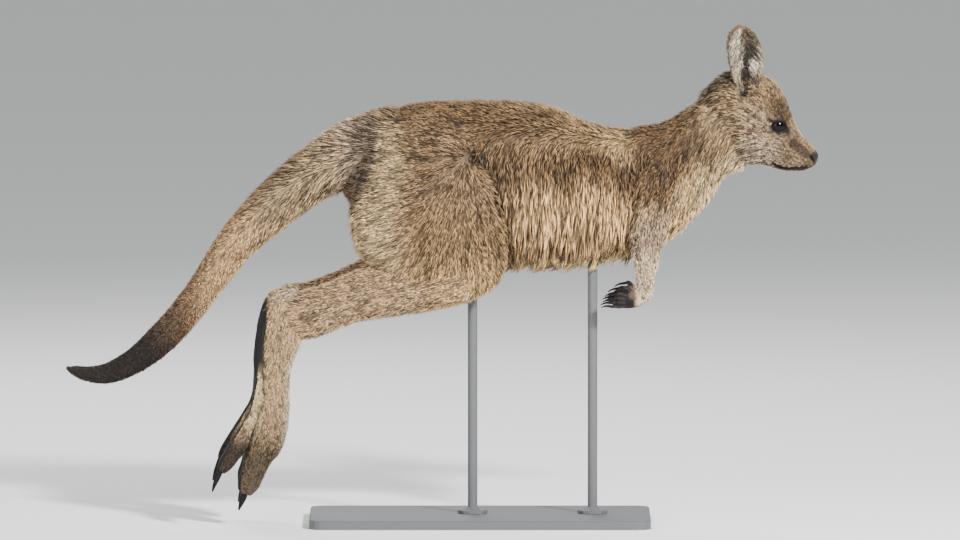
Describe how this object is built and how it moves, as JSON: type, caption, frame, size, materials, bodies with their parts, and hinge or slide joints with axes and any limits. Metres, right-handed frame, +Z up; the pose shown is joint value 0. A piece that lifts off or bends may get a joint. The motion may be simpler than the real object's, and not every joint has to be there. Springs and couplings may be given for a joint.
{
  "type": "grey kangaroo",
  "caption": "Life-size still model of a young eastern grey kangaroo in mid leap, body stretched and hind feet trailing, held on a flat display stand",
  "frame": {"origin": "on the floor, at the centre of the underside of the stand's base", "axes": "+X towards the nose, +Y towards the animal's left side, +Z up"},
  "size_m": [1.0135, 0.25, 0.6729],
  "materials": {
    "coat": "grey-brown fur, browner on the back, cream on the belly, inner limbs and tail base",
    "dark_coat": "short dark brown to black fur and bare skin",
    "eye": "dark brown wet glossy eye",
    "claw": "dark grey horn, slightly glossy",
    "stand": "satin dark grey powder coat"
  },
  "bodies": {
    "root": {"chest": "coat", "ear_left": "coat", "ear_right": "coat", "eye_left": "eye", "eye_right": "eye", "foot_left": "coat", "foot_right": "coat", "forearm_left": "coat", "forearm_right": "coat", "front_claw_1_left": "claw", "front_claw_1_right": "claw", "front_claw_2_left": "claw", "front_claw_2_right": "claw", "front_claw_3_left": "claw", "front_claw_3_right": "claw", "front_claw_4_left": "claw", "front_claw_4_right": "claw", "front_claw_5_left": "claw", "front_claw_5_right": "claw", "head": "coat", "hind_claw_five_left": "claw", "hind_claw_five_right": "claw", "hind_claw_four_left": "claw", "hind_claw_four_right": "claw", "hind_claw_two_three_left": "claw", "hind_claw_two_three_right": "claw", "neck": "coat", "paw_left": "dark_coat", "paw_right": "dark_coat", "shank_left": "coat", "shank_right": "coat", "stand_base": "stand", "stand_rod_front": "stand", "stand_rod_rear": "stand", "tail_base": "coat", "tail_middle": "coat", "tail_tip": "dark_coat", "thigh_left": "coat", "thigh_right": "coat", "trunk": "coat", "upper_arm_left": "coat", "upper_arm_right": "coat"}
  },
  "joints": []
}
